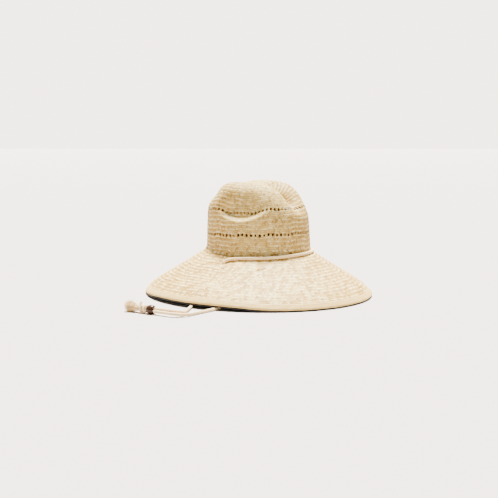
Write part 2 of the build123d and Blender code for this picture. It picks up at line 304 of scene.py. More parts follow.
def tube_quads(count, rings, sides, uv_scale=1.0, uv_shift=0.0):
    """The quads of many small tubes, and their UVs, which shift from one tube to the next."""
    one, places = grid_quads(rings, sides)
    faces = one + (np.arange(count) * rings * sides)[:, None, None]
    uv = places * uv_scale + np.arange(count)[:, None, None, None] * uv_shift
    return faces.reshape(-1, 4), {"weave": uv.reshape(-1, 4, 2)}


def circle(sides):
    """Even angles round a circle, in radians."""
    return 2 * np.pi * np.arange(sides) / sides


def add_piece(name, points, faces, material, uvs=None, stands_for=(), body="hat", flip=False):
    """A mesh object from points in millimetres and quads, riding on a body; flip turns its quads over."""
    order = -1 if flip else 1
    used, faces = np.unique(faces[:, ::order], return_inverse=True)
    faces = faces.reshape(-1, 4)
    points = np.asarray(points, float).reshape(-1, 3)[used]
    mesh = bpy.data.meshes.new(name)
    mesh.vertices.add(len(points))
    mesh.vertices.foreach_set("co", (points * MM).astype(np.float32).ravel())
    mesh.loops.add(faces.size)
    mesh.loops.foreach_set("vertex_index", faces.astype(np.int32).ravel())
    mesh.polygons.add(len(faces))
    mesh.polygons.foreach_set("loop_start", np.arange(0, faces.size, 4, dtype=np.int32))
    mesh.update(calc_edges=True)
    mesh.polygons.foreach_set("use_smooth", np.ones(len(faces), bool))
    for layer, values in (uvs or {}).items():
        uv = mesh.uv_layers.new(name=layer)
        uv.data.foreach_set("uv", np.asarray(values, np.float32)[:, ::order].ravel())
    mesh.validate()
    mesh.materials.append(material)
    thing = link(name, mesh)
    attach(thing, body)
    if stands_for:
        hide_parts(*stands_for)
    return thing


def unit(vectors):
    return vectors / np.maximum(np.linalg.norm(vectors, axis=-1, keepdims=True), 1e-9)


def outward(points):
    """Unit normals of a grid of points whose columns close round it."""
    around = np.roll(points, -1, 1) - np.roll(points, 1, 1)
    return unit(np.cross(np.gradient(points, axis=0), around))


def smooth_step(value, low, high):
    share = np.clip((value - low) / (high - low), 0, 1)
    return share * share * (3 - 2 * share)


# ---- the hat's surface ----
def brim_profile(t, h=0.0):
    """(offset from the crown's base, height) at the share t of the brim's width, h above the straw."""
    z = BASE_Z - BRIM_FALL * t + BRIM_FLARE * t**2 - EDGE_DROOP * t**DROOP_POWER
    slope = (BRIM_FALL - 2 * BRIM_FLARE * t + DROOP_POWER * EDGE_DROOP * t ** (DROOP_POWER - 1)) / BRIM_WIDTH
    length = np.hypot(1.0, slope)
    return BRIM_WIDTH * t + h * slope / length, z + h / length


def edge_lift(azimuth):
    away = (azimuth - LIFT_AZIMUTH + 180) % 360 - 180
    return EDGE_LIFT * np.exp(-((away / LIFT_SPREAD) ** 4))


def on_hat(azimuth, offset, z, size=1.0, lean=0.0):
    """The point at this offset from the crown's base oval, taken at size, raised as the edge is."""
    turn = np.radians(azimuth)
    lift = edge_lift(azimuth) * np.maximum(0.0, offset / BRIM_WIDTH) ** 3
    x = (HEAD_X * size + offset) * np.sin(turn)
    y = lean - (HEAD_Y * size + offset) * np.cos(turn)
    return np.stack(np.broadcast_arrays(x, y, z + lift), -1)


FILLET_OFFSET = 8.0  # the brim turns up into the crown from here in
FILLET_TOP = 10.0
HALF_ROW = 3.9  # width of one slanted row of the herringbone weave
ROW_STEPS = 4  # grid rows across it
BRIM_STEPS = 240  # rows of the profile's table on the brim
WALL_LEVEL = 0.8  # the crown's wall has even steps up to this share of its height
STRAND_STEPS = 4  # grid columns across one strand
STEP = HALF_ROW / ROW_STEPS


def profile_table():
    """The hat's profile from the brim's edge to the crown's top: how far along it, and
    there the offset, height, size of the oval and lean."""
    t = np.linspace(STRAW_END, FILLET_OFFSET / BRIM_WIDTH, BRIM_STEPS)
    brim = np.stack([*brim_profile(t), np.ones_like(t), np.zeros_like(t)], -1)
    w = np.linspace(0, 1, 30)[1:, None]
    start = brim[-1, :2]
    corner, end = np.array([0.0, BASE_Z]), np.array([0.0, BASE_Z + FILLET_TOP])
    bend = (1 - w) ** 2 * start + 2 * w * (1 - w) * corner + w**2 * end
    fillet = np.column_stack([bend, np.ones_like(w), np.zeros_like(w)])
    height = CROWN_TOP_Z - BASE_Z - WALL_START
    wall = np.linspace((FILLET_TOP - WALL_START) / height, WALL_LEVEL, 200)[1:]
    shoulder_size = np.linspace((1 - WALL_LEVEL**SHOULDER_POWER) ** 0.25, 0.0, 400)[1:]
    level = np.concatenate([wall, (1 - shoulder_size**4) ** (1 / SHOULDER_POWER)])
    size = np.maximum(1 - level**SHOULDER_POWER, 0) ** 0.25 * (1 - CROWN_TAPER * level)
    crown = np.column_stack([np.zeros_like(level), BASE_Z + WALL_START + level * height, size,
                             CROWN_LEAN * level**2])
    table = np.concatenate([brim, fillet, crown])
    radius = MEAN_HEAD * table[:, 2] + table[:, 0]
    run = np.hypot(np.diff(radius), np.diff(table[:, 1]))
    return np.concatenate([[0.0], np.cumsum(run)]), table


PROFILE_RUN, PROFILE = profile_table()
HAT_RUN = PROFILE_RUN[-1]
RUN_END = HAT_RUN - 0.02  # grids stop just short of the crown's very top
FRONT_PINCH, BACK_CREASE = 23.0, 13.0  # depth of the crease at the front and at the back
BACK_ROUND = 10.0  # the crown's back shoulder is this much rounder
FRONT_SLOPE = 13.0  # the ridges beside the crease also sink by this towards the front
SIDE_DENT = 12.0  # how deep the side dents are
SIDE_DROP = 0.45  # the straw in them also sinks by this share of their depth
DENT_CENTRE, DENT_HALF_SIZE = (-12.0, 178.0), (60.0, 37.0)  # along Y and up
UNEVENNESS = 0.6


def run_at(column, value, last=None):
    """How far along the profile this column of the table first reaches the value."""
    rows = slice(0, last)
    values = PROFILE[rows, column]
    order = np.argsort(values)
    return float(np.interp(value, values[order], PROFILE_RUN[rows][order]))


def crown_dents(p):
    """How far each point of the smooth crown is pushed in, and the side dents' part of that."""
    x, y, z = p[..., 0], p[..., 1], p[..., 2]
    to_front = smooth_step(-y, -30.0, 80.0)
    depth = BACK_CREASE + (FRONT_PINCH - BACK_CREASE) * to_front
    depth = depth * smooth_step(z, 150.0, 199.0) * (1 - 0.55 * smooth_step(y, 55.0, 100.0))
    width = 25.0 - 12.0 * to_front
    crease = depth * np.exp(-(np.abs(x) / width) ** 2.3)
    slope = FRONT_SLOPE * smooth_step(-y, 15.0, 85.0) * smooth_step(z, 145.0, 195.0)
    crease += slope * np.exp(-(x / 40.0) ** 2)
    reach = np.hypot((y - DENT_CENTRE[0]) / DENT_HALF_SIZE[0], (z - DENT_CENTRE[1]) / DENT_HALF_SIZE[1])
    soft_from = 0.05 + 0.46 * smooth_step(-z, -188.0, -160.0)
    side = SIDE_DENT * (1 - smooth_step(reach, soft_from, 1.0)) * smooth_step(np.abs(x), 26.0, 52.0)
    back = BACK_ROUND * smooth_step(y, 20.0, 90.0) * np.exp(-((z - 193.0) / 19.0) ** 2)
    return crease + side + back, side


def hand_made(azimuth, run):
    """The slight unevenness of a hat that was woven and blocked by hand."""
    a = np.radians(azimuth)
    crown = smooth_step(run, 140.0, 180.0)
    wave = np.sin(3 * a + 0.6) * 0.8 + np.sin(7 * a + run * 0.03) * 0.45 + np.sin(13 * a - run * 0.05) * 0.25
    edge = smooth_step(run, 0.0, 25.0)
    return wave * (0.75 * edge + 0.5 * crown) + 0.5 * crown * np.sin(5 * a + run * 0.09)


def row_wobble(azimuth, run):
    """How far the rows of the weave stray along the profile; on the crown they rise to the front."""
    a = np.radians(azimuth)
    free = smooth_step(run, 0.0, 22.0) * smooth_step(HAT_RUN - run, 0.0, 45.0)
    tilt = 4.0 * np.cos(a) * smooth_step(run, 120.0, 165.0) * smooth_step(HAT_RUN - run, 0.0, 70.0)
    return tilt + free * (0.8 * np.sin(11 * a + run * 0.021) + 0.55 * np.sin(23 * a - run * 0.034 + 1.0))


def smooth_hat(azimuth, run):
    """Points of the hat without its dents, this far along the profile from the brim's edge."""
    return on_hat(azimuth, *(np.interp(run, PROFILE_RUN, PROFILE[:, k]) for k in range(4)))


def hat_surface(azimuth, run, inward=0.0):
    """Points and normals of the shaped hat; inward is the distance under its outer side."""
    run = np.clip(run + row_wobble(azimuth, run), 0, HAT_RUN)
    smooth = smooth_hat(azimuth, run)
    normal = surface_normal(azimuth, run)
    dents, side = crown_dents(smooth)
    push = dents - hand_made(azimuth, run) * UNEVENNESS
    points = smooth - normal * (push + inward)[..., None]
    points[..., 2] -= SIDE_DROP * side
    return points, normal


def surface_normal(azimuth, run):
    """Outward unit normals of the smooth hat, before its dents."""
    gap = 0.25
    sides = [smooth_hat(azimuth + turn, np.clip(run + shift, 0, RUN_END))
             for shift, turn in ((gap, 0), (-gap, 0), (0, gap), (0, -gap))]
    normal = np.cross(sides[2] - sides[3], sides[0] - sides[1])
    length = np.linalg.norm(normal, axis=-1, keepdims=True)
    return np.where(length > 1e-7, normal / np.maximum(length, 1e-9), np.array([0.0, 0.0, 1.0]))


# ---- the weave ----
RELIEF = 0.85  # how far a strand stands out of the weave
VENTS = 75  # holes in each row of vents
VENT_HALF_WIDTH, VENT_HALF_HEIGHT = 2.5, 3.2
VENT_SQUARENESS = 1.4  # 1 makes a diamond, 2 an oval
VENT_HEIGHTS = (116.5, 165.0)
HOLE_REACH = 1.5  # the weave gives way round a hole out to this many times its size
INNER_STEP = 3  # the straw's inner side has one grid row or column for three outside
INNER_DEPTH = 1.7  # and lies this far under the outer side
SHOULDER_SIZE = 0.50  # the cap on the crown's top starts where its oval has shrunk to this
ZONE_OFFSET = 40.0  # the brim's outer zone, with more strands, starts here
INNER_ZONE_ROWS = 48  # grid rows from there to the crown's zone
COLUMNS_IN, COLUMNS_OUT, COLUMNS_CAP = 900, 1500, 450


def strand_phase(half_row, share, cols):
    """How many strands along its half row a point lies; half rows slant one way and the other."""
    slant = np.where(half_row % 2 == 0, 1.0, -1.0)
    return cols / STRAND_STEPS + 0.5 * (half_row % 2) + slant * share


def weave_rise(rows, columns):
    """How far the weave stands out at each point of these grid rows."""
    half_row, share = rows[:, None] // ROW_STEPS, (rows[:, None] % ROW_STEPS) / ROW_STEPS
    phase = strand_phase(half_row, share, np.arange(columns))
    jitter = chance.uniform(0.55, 1.15, (int(half_row.max()) + 1, columns // STRAND_STEPS + 2))
    strand = np.floor(phase).astype(int) % (columns // STRAND_STEPS)
    rise = np.abs(np.sin(np.pi * phase)) ** 0.8 * (0.25 + 0.75 * np.sin(np.pi * share))
    return rise * jitter[half_row, strand] * RELIEF


def weave_uvs(rows, cols):
    """UVs of the quads' corners at these grid rows and columns: whole steps of the first set are
    strands and half rows, and the second set runs along the strand's fibres."""
    half_row = rows.min(1, keepdims=True) // ROW_STEPS
    share = rows / ROW_STEPS - half_row
    phase = strand_phase(half_row, share, cols)
    v = half_row + np.clip(share, 0.001, 0.999)
    strand = np.floor(phase.mean(1, keepdims=True))
    fibre = np.stack([phase * 9.0 + 31.7 * half_row, share * 1.5 + strand * 7.3], -1)
    return {"weave": np.stack([phase, v], -1), "fibre": fibre}


def hole_list(vents, ears, columns):
    """Each hole's centre row and column, half size, power and the radius of its row."""
    holes = []
    sizes = np.random.default_rng(5).uniform(0.6, 1.05, (len(VENT_HEIGHTS), VENTS))
    for row, row_sizes in zip(vents, sizes):
        for k, size in enumerate(row_sizes):
            half_size = (VENT_HALF_WIDTH * size, VENT_HALF_HEIGHT * size)
            holes.append((row, k * columns // VENTS, half_size, VENT_SQUARENESS, MEAN_HEAD))
    if ears is not None:
        for quarter in (1, 3):
            col = quarter * columns // 4
            holes.append((ears, col, (HOLE_RADIUS, HOLE_RADIUS), 2, HEAD_X + HOLE_OFFSET))
    return holes


def open_hole(azimuth, run, row, col, half_size, power, radius):
    """Push the grid away from a hole's centre: a diamond for a power of 1, an oval for 2."""
    columns = azimuth.shape[1]
    span = int(1.8 * max(half_size) / min(STEP, radius * 2 * math.pi / columns)) + 2
    grid = np.ix_(np.arange(row - span, row + span + 1), np.arange(col - span, col + span + 1) % columns)
    across = np.radians((azimuth[grid] - azimuth[row, col] + 180) % 360 - 180) * radius
    along = run[grid] - run[row, col]
    far = ((np.abs(across) / half_size[0]) ** power + (np.abs(along) / half_size[1]) ** power) ** (1 / power)
    pushed = (1 + far * (1 - 1 / HOLE_REACH)) / np.maximum(far, 1e-9)
    grow = np.where((far > 0) & (far < HOLE_REACH), pushed, 1.0)
    azimuth[grid] = azimuth[row, col] + np.degrees(across * grow / radius)
    run[grid] = run[row, col] + along * grow


def straw_grid(rows, columns):
    """The azimuth and run of each grid point, and which cells are closed: at first all of them."""
    azimuth = np.tile(360.0 * np.arange(columns) / columns, (len(rows), 1))
    run = np.tile(rows[:, None] * STEP, (1, columns))
    return azimuth, run, np.ones((len(rows) - 1, columns), bool)


def open_cells(closed_cells, row, col):
    """Take out the four cells round a hole's centre."""
    closed_cells[np.ix_((row - 1, row), ((col - 1) % closed_cells.shape[1], col))] = False


def straw_zone(names, first, last, columns, material, vents=(), ears=None):
    """The straw's outer side between two grid rows, in as many equal sectors as there are names."""
    rows = np.arange(first, last + 1)
    rise = weave_rise(rows, columns)
    azimuth, run, closed_cells = straw_grid(rows, columns)
    for row, col, half_size, power, radius in hole_list(vents, ears, columns):
        open_hole(azimuth, run, row - first, col, half_size, power, radius)
        open_cells(closed_cells, row - first, col)
    if last * STEP > HAT_RUN - 1.0:     # the crown's top is closed
        run[-1] = RUN_END
    points, normal = hat_surface(azimuth, run)
    points = points + normal * rise[..., None]
    faces, places = grid_quads(len(rows), columns)
    uvs = weave_uvs(places[..., 1] + first, places[..., 0])
    sector = places[:, 0, 0] * len(names) // columns
    pieces = []
    for k, name in enumerate(names):
        kept = closed_cells.ravel() & (sector == k)
        layers = {key: value[kept] for key, value in uvs.items()}
        pieces.append(add_piece(name, points, faces[kept], material, layers))
    return pieces


def straw_inside(name, last, vents, ears, material):
    """The straw's inner side from the brim's edge to the crown's top, coarser, with the same holes."""
    columns = COLUMNS_IN // INNER_STEP
    rows = np.arange(0, last + 1, INNER_STEP)
    azimuth, run, closed_cells = straw_grid(rows, columns)
    for row, col, *_ in hole_list(vents, ears, columns):
        open_cells(closed_cells, row // INNER_STEP, col)
    points, _ = hat_surface(azimuth, run, INNER_DEPTH)
    faces, places = grid_quads(len(rows), columns)
    places = places * INNER_STEP
    strands, half_rows = places[..., 0] / STRAND_STEPS, places[..., 1] / ROW_STEPS
    uvs = weave_uvs(places[..., 1], places[..., 0])
    uvs["weave"] = np.stack([strands + half_rows, half_rows], -1)
    kept = closed_cells.ravel()
    layers = {key: value[kept] for key, value in uvs.items()}
    add_piece(name, points, faces[kept], material, layers, flip=True)


def add_straw(material, inner_material):
    """The whole woven body: brim, crown and cap, and their inner side."""
    def row_at(run, whole=ROW_STEPS * INNER_STEP):
        return int(round(run / STEP / whole)) * whole

    zone_row = row_at(run_at(0, ZONE_OFFSET, BRIM_STEPS))
    crown_row = zone_row + INNER_ZONE_ROWS
    cap_row = row_at(run_at(2, SHOULDER_SIZE))
    top_row = int((HAT_RUN - 0.3) / STEP)
    crown = PROFILE[:, 2] < 1
    vent_runs = np.interp(VENT_HEIGHTS, PROFILE[crown, 1], PROFILE_RUN[crown])
    vents = [row_at(float(run), INNER_STEP) for run in vent_runs]
    ears = row_at(run_at(0, HOLE_OFFSET, BRIM_STEPS), INNER_STEP)
    brim = straw_zone(["straw_brim_left_side", "straw_brim_right_side"], 0, zone_row, COLUMNS_OUT, material)
    straw_zone(["straw_brim_inner"], zone_row, crown_row, COLUMNS_IN, material, ears=ears)
    straw_zone(["straw_crown_left_side", "straw_crown_right_side"], crown_row, cap_row, COLUMNS_IN,
               material, vents=vents)
    straw_zone(["straw_crown_top"], cap_row, top_row, COLUMNS_CAP, material)
    straw_inside("straw_inner_side", top_row // INNER_STEP * INNER_STEP, vents, ears, inner_material)
    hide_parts("woven_body")


def add_loose_ends(material):
    """Two flat straw ends that have come out of the weave on the brim."""
    routes = {"loose_end_long": [(-60.0, 36.0, 0.6), (-57.0, 34.0, 3.0), (-52.0, 28.5, 1.2)],
              "loose_end_short": [(-59.0, 31.0, 0.8), (-57.5, 34.0, 2.4), (-55.5, 34.0, 0.8)]}
    half_width, half_thickness, sides = 0.75, 0.3, 8
    turn = circle(sides)
    for name, route in routes.items():
        line, run = cord_line([on_hat(a, *brim_profile(o / BRIM_WIDTH, h)) for a, o, h in route], 0.7)
        taper = np.sqrt(np.clip(1 - (2 * run / run[-1] - 1) ** 6, 0.02, 1))[:, None]
        points = round_line(line, taper * half_width * np.cos(turn), taper * half_thickness * np.sin(turn))
        faces, places = grid_quads(len(line), sides)
        add_piece(name, points, faces, material, {"weave": places * 0.5}, flip=True)


# ---- rings: tape, piping, facing and sweatband ----
def ring_piece(name, section, columns, material, stands_for, ripple, uv_scale):
    """A closed section of (offset, z) points carried round the hat, with a ripple of its own."""
    azimuth = 360.0 * np.arange(columns)[None, :] / columns
    section = np.asarray(section, float)
    points = on_hat(azimuth, section[:, 0, None], section[:, 1, None])
    closed = np.concatenate([points[-1:], points, points[:1]])
    points = points + outward(closed)[1:-1] * ripple(azimuth, np.arange(len(section))[:, None])[..., None]
    faces, places = grid_quads(len(section), columns, closed_rows=True)
    uvs = {"weave": places * uv_scale}
    return add_piece(name, points, faces, material, uvs, [stands_for], flip=True)


TAPE_EDGE, TAPE_FOLD = 0.925, 0.988
TAPE_TOP, TAPE_UNDER = 0.95, -2.95


def add_tape(material, stitch_material):
    """The folded tape: ribs across it, and a row of stitches near its upper edge."""
    outer = [(TAPE_EDGE, 0.2), (TAPE_EDGE + 0.0015, 0.75), (TAPE_EDGE + 0.005, TAPE_TOP)]
    outer += [(t, TAPE_TOP) for t in (0.94, 0.953, 0.966, 0.977)]
    outer += [(0.9845, 0.75), (0.9885, 0.1), (0.9895, -1.0), (0.9885, -2.1), (0.984, -2.75)]
    outer += [(t, TAPE_UNDER) for t in (0.972, 0.955, 0.938)]
    outer += [(TAPE_EDGE + 0.003, TAPE_UNDER), (TAPE_EDGE, -2.6)]
    inner = [(0.93, -2.2), (0.955, -2.15), (0.98, -2.1), (0.982, -1.0), (0.98, 0.1)]
    inner += [(t, 0.15) for t in (0.955, 0.93)]
    section = [brim_profile(t, h) for t, h in outer + inner]
    ribs, per_rib = 900, 2
    rows = np.arange(len(section))[:, None]
    soft = (rows > 1) & (rows < len(outer) - 1)

    def ripple(azimuth, row):
        rib = (np.arange(azimuth.shape[1])[None, :] % per_rib) * 0.16
        wave = 0.12 * np.sin(np.radians(azimuth) * 41 + row * 0.7) + 0.1 * np.sin(np.radians(azimuth) * 17)
        return (rib + wave) * soft

    ring_piece("brim_tape", section, ribs * per_rib, material, "edge_binding", ripple,
               (1 / per_rib, 0.25))
    add_stitches("tape_stitching", brim_profile(TAPE_EDGE + 0.016, TAPE_TOP + 0.12), 3.4, stitch_material)


def add_stitches(name, place, pitch, material):
    """A row of thread stitches round the hat, each a small grain along the row."""
    length, half_width, rings, sides = 2.5, 0.3, 6, 6
    offset, z = place
    count = int(2 * math.pi * (MEAN_HEAD + offset) / pitch)
    azimuth = 360.0 * (np.arange(count) + 0.5) / count
    centres = on_hat(azimuth, offset, z)
    ahead = unit(on_hat(azimuth + 0.2, offset, z) - centres)
    side = unit(np.cross(ahead, np.array([0.0, 0.0, 1.0])))
    up = np.cross(side, ahead)
    along = -np.cos(np.pi * np.arange(rings) / (rings - 1)) * length / 2
    girth = np.maximum(np.sqrt(np.clip(1 - (2 * along / length) ** 2, 0, 1)), 0.05) * half_width
    turn = circle(sides)
    points = centres[:, None, None] + along[:, None, None] * ahead[:, None, None]
    for direction, away in ((side, np.cos(turn)), (up, np.sin(turn))):
        points = points + (girth[:, None] * away)[..., None] * direction[:, None, None]
    faces, uvs = tube_quads(count, rings, sides)
    return add_piece(name, points, faces, material, uvs)


PIPING_RADIUS, PIPING_SIDES = 1.0, 12


def add_piping(material):
    """The black roll under the tape, on which the hat stands, with a twist of fine dents."""
    offset = brim_profile(TAPE_FOLD, TAPE_UNDER)[0] + 0.8
    section = [(offset + PIPING_RADIUS * math.cos(a), PIPING_RADIUS * (1 + math.sin(a)))
               for a in circle(PIPING_SIDES)]

    def ripple(azimuth, row):
        return -0.07 * ((np.arange(azimuth.shape[1])[None, :] + row) % 4 == 0)

    ring_piece("brim_piping", section, 1200, material, "edge_piping", ripple, (0.5, 1.0))


LINING_FROM, LINING_TO, LINING_STEPS = 0.095, 0.915, 60
LINING_TOP, LINING_UNDER = -2.45, -3.35


def add_lining(material):
    """The black facing under the brim: one flat ring of cloth, stretched from tape to crown."""
    t = np.linspace(LINING_FROM, LINING_TO, LINING_STEPS)
    section = np.concatenate([np.stack(brim_profile(t, LINING_TOP), -1),
                              np.stack(brim_profile(t[::-1], LINING_UNDER), -1)])

    def ripple(azimuth, row):
        share = np.minimum(row, 2 * LINING_STEPS - 1 - row) / (LINING_STEPS - 1)
        return 0.18 * np.sin(23 * np.radians(azimuth) + 5 * share) * np.sin(np.pi * share)

    lining = ring_piece("underbrim_facing", section, 720, material, "underbrim_lining",
                        ripple, (1.2, 1.5))


BAND_BOTTOM_Z, BAND_HEIGHT = 86.5, 23.0


def add_sweatband(material, stitch_material):
    """The cotton band inside the crown's base, with a turned edge and a row of stitches."""
    rise = np.linspace(0, 1, 16)
    near, lean, thick = -2.4, 1.2, 0.8
    bulge = 0.25 * np.exp(-((rise - 0.06) / 0.05) ** 2) + 0.15 * np.exp(-((rise - 0.95) / 0.04) ** 2)
    z = BAND_BOTTOM_Z + BAND_HEIGHT * rise
    outer = np.stack([near - lean * rise, z], -1)
    inner = np.stack([near - thick - lean * rise - bulge, z], -1)
    section = np.concatenate([inner, outer[::-1]])

    def ripple(azimuth, row):
        a = np.radians(azimuth)
        return 0.12 * np.sin(31 * a + 0.4 * row) * np.sin(9 * a)

    band = ring_piece("sweatband_strip", section, 720, material, "sweatband", ripple,
                      (1.0, 1.6))
    stitches = add_stitches("sweatband_stitching", (near - thick - 0.45, BAND_BOTTOM_Z + 3.2), 3.6,
                            stitch_material)


# ---- cord ----
def cord_line(route, step):
    """Even points along the smooth line that has a route's points as its control points."""
    curve = bpy.data.curves.new("route", "CURVE")
    curve.dimensions = "3D"
    spline = curve.splines.new("NURBS")
    spline.points.add(len(route) - 1)
    for point, place in zip(spline.points, route):
        point.co = (place[0] * MM, place[1] * MM, place[2] * MM, 1.0)
    spline.order_u = 3
    spline.use_endpoint_u = True
    spline.resolution_u = 24
    holder = link("route", curve)
    mesh = bpy.data.meshes.new_from_object(holder)
    line = np.array([v.co for v in mesh.vertices], float) / MM
    bpy.data.objects.remove(holder)
    bpy.data.curves.remove(curve)
    bpy.data.meshes.remove(mesh)
    run = np.concatenate([[0.0], np.cumsum(np.linalg.norm(np.diff(line, axis=0), axis=1))])
    even = np.linspace(0, run[-1], max(int(round(run[-1] / step)), 4) + 1)
    return np.stack([np.interp(even, run, line[:, k]) for k in range(3)], -1), even


def frames_along(line):
    """Two unit sideways directions at each point of a line, turning as little as they can."""
    ahead = unit(np.gradient(line, axis=0))
    side = [unit(np.cross(ahead[0], [0.3, 0.2, 1.0] if abs(ahead[0][2]) < 0.8 else [1.0, 0.2, 0.1]))]
    for direction in ahead[1:]:
        side.append(unit(side[-1] - direction * (side[-1] @ direction)))
    return np.array(side), np.cross(ahead, side)


def round_line(line, across, upward):
    """Rings of points round a line, at these distances from it to the side and up."""
    side, up = frames_along(line)
    return line[:, None] + across[..., None] * side[:, None] + upward[..., None] * up[:, None]


BRAID_ROUND = 8  # strands of each direction that a cut across the cord meets
BRAID_PITCH, BRAID_STEPS = 3.0, 4
BRAID_RELIEF = 0.5
BRAID_SHIFT = 400  # keeps the count of the strands that run the other way above 0
BRAID_CAP = 0.02  # a cord's closed end shrinks to this share of its girth


def braided_tube(name, route, diameter, material, stands_for=(), taper=0.0):
    """A braided cord along a route, and the line that it follows, in metres."""
    line, run = cord_line(route, BRAID_PITCH / BRAID_STEPS)
    columns = BRAID_ROUND * BRAID_STEPS
    ahead = np.arange(len(line))[:, None] / BRAID_STEPS
    around = np.arange(columns)[None, :] / BRAID_STEPS
    a, b = around + ahead, around - ahead + BRAID_SHIFT
    over = (np.floor(a) + np.floor(b)) % 2 == 0
    ridge_a, ridge_b = np.abs(np.sin(np.pi * a)), np.abs(np.sin(np.pi * b))
    rise = np.where(over, ridge_a**0.7 * (0.5 + 0.5 * ridge_b), ridge_b**0.7 * (0.5 + 0.5 * ridge_a))
    radius = diameter / 2 + 0.1 + (rise - 1) * BRAID_RELIEF
    radius = radius * (1 - taper * smooth_step(run[:, None], run[-1] - 3.0, run[-1]))
    turn = circle(columns)
    points = round_line(line, radius * np.cos(turn), radius * np.sin(turn))
    ends = [(points[k] * BRAID_CAP + line[k] * (1 - BRAID_CAP))[None] for k in (0, -1)]
    points = np.concatenate([ends[0], points, ends[1]])
    faces, places = grid_quads(len(points), columns)
    uv = places @ ((1, 1), (1, -1)) / BRAID_STEPS + (0, BRAID_SHIFT)
    piece = add_piece(name, points, faces, material, {"weave": uv}, stands_for, flip=True)
    return piece, line * MM


BAND_LAY, BEND_LAY = 0.78, 0.8  # how high the cord's centre lies over the brim, in cord widths


def on_brim(azimuth, offset):
    """Where the cord's centre is when the cord lies on top of the brim."""
    x, y, _ = on_hat(azimuth, offset, 0.0)
    return float(x), float(y), float(brim_profile(offset / BRIM_WIDTH)[1] + CORD * BAND_LAY)


def add_cord(material, frayed):
    """The cord: the band over the brim, two strands, the knot and the frayed tassel."""
    hole_x = HEAD_X + HOLE_OFFSET
    bend_z = float(brim_profile(HOLE_OFFSET / BRIM_WIDTH)[1]) + CORD * BEND_LAY
    band_route = [
        (-hole_x, 0, HOLE_EXIT_Z), (-hole_x, 0, bend_z),
        on_brim(-82, 15.5), on_brim(-64, 13.5), on_brim(-48, 12.0), on_brim(-32, 9.5), on_brim(-16, 7.5),
        on_brim(0, 6.6), on_brim(16, 6.4), on_brim(32, 6.8), on_brim(48, 8.0), on_brim(64, 10.5),
        on_brim(82, 15.5), (hole_x, 0, bend_z), (hole_x, 0, HOLE_EXIT_Z),
    ]
    bead_x, bead_y, bead_z = BEAD_CENTRE
    pair_x = CORD / 2 * math.cos(math.radians(PAIR_TILT))
    pair_z = CORD / 2 * math.sin(math.radians(PAIR_TILT))
    knot_y = bead_y + BEAD_LENGTH / 2 + KNOT_GAP
    left_x, left_z = bead_x - pair_x, bead_z - pair_z
    right_x, right_z = bead_x + pair_x, bead_z + pair_z
    low = CORD_REST_Z
    right_route = [
        (-hole_x, 0, HOLE_EXIT_Z), (-hole_x, 0, 31), (-99, 16, 8), (-77, 36, low), (-48, 60, low),
        (-50, 96, low), (-84, 114, low), (-124, 100, low), (-146, 66, low), (-163, 30, low), (-193, 6, low),
        (-236, -15, low + 0.2), (-266, -36, 6.7), (right_x, -25, right_z), (right_x, -9, right_z),
        (right_x, knot_y, right_z),
    ]
    left_route = [
        (hole_x, 0, HOLE_EXIT_Z), (hole_x, 0, 31), (99, -16, 8), (76, -36, low), (28, -58, low),
        (-28, -64, low), (-82, -52, low), (-140, -43, low), (-200, -47, low), (-244, -43, low),
        (-275, -42, 4.2), (left_x, -27, left_z), (left_x, -9, left_z), (left_x, knot_y, left_z),
    ]

    band, band_line = braided_tube("brim_cord", band_route, CORD, material, ["cord_band"])
    add_bead(bead_material())
    knot = add_knot(material, knot_y)
    tassel = add_tassel(frayed, knot_y + KNOT_LENGTH)
    right, right_line = braided_tube("right_strand", right_route, CORD, material, ["cord_right"])
    left, left_line = braided_tube("left_strand", left_route, CORD, material, ["cord_left"])


def add_knot(material, knot_y):
    """Both strands wrapped once and a half and pulled tight, with one short end that stands up."""
    bead_x, _, bead_z = BEAD_CENTRE
    cord, core_width, points_a_turn = 4.9, 9.0, 6

    def at(x, y, z):
        return bead_x + x, knot_y + y, bead_z + z

    def wrap(start, end, radius, first_turn, turns):
        count = int(abs(turns) * points_a_turn) + 1
        share = np.arange(count) / (count - 1)
        turn = math.radians(first_turn) + 2 * np.pi * turns * share
        return [at(radius * math.cos(a), start + (end - start) * s, radius * math.sin(a))
                for a, s in zip(turn, share)]

    first = wrap(2.6, 8.2, 5.7, -60, 1.35)
    second = wrap(9.0, 17.5, 5.9, 140, -1.6)
    tail = [at(-3.0, 12.0, 3.0), at(-2.0, 14.5, 6.5), at(-0.5, 15.5, 9.0), at(0.5, 15.0, 11.5)]
    core = [at(0, 0.5, 0), at(0.6, KNOT_LENGTH * 0.5, 0.4), at(0, KNOT_LENGTH, 0)]
    return [braided_tube("knot_first_wrap", first, cord, material, ["cord_knot"], taper=0.5)[0],
            braided_tube("knot_second_wrap", second, cord + 0.3, material, taper=0.5)[0],
            braided_tube("knot_tail", tail, cord, material, taper=0.15)[0],
            braided_tube("knot_core", core, core_width, material)[0]]


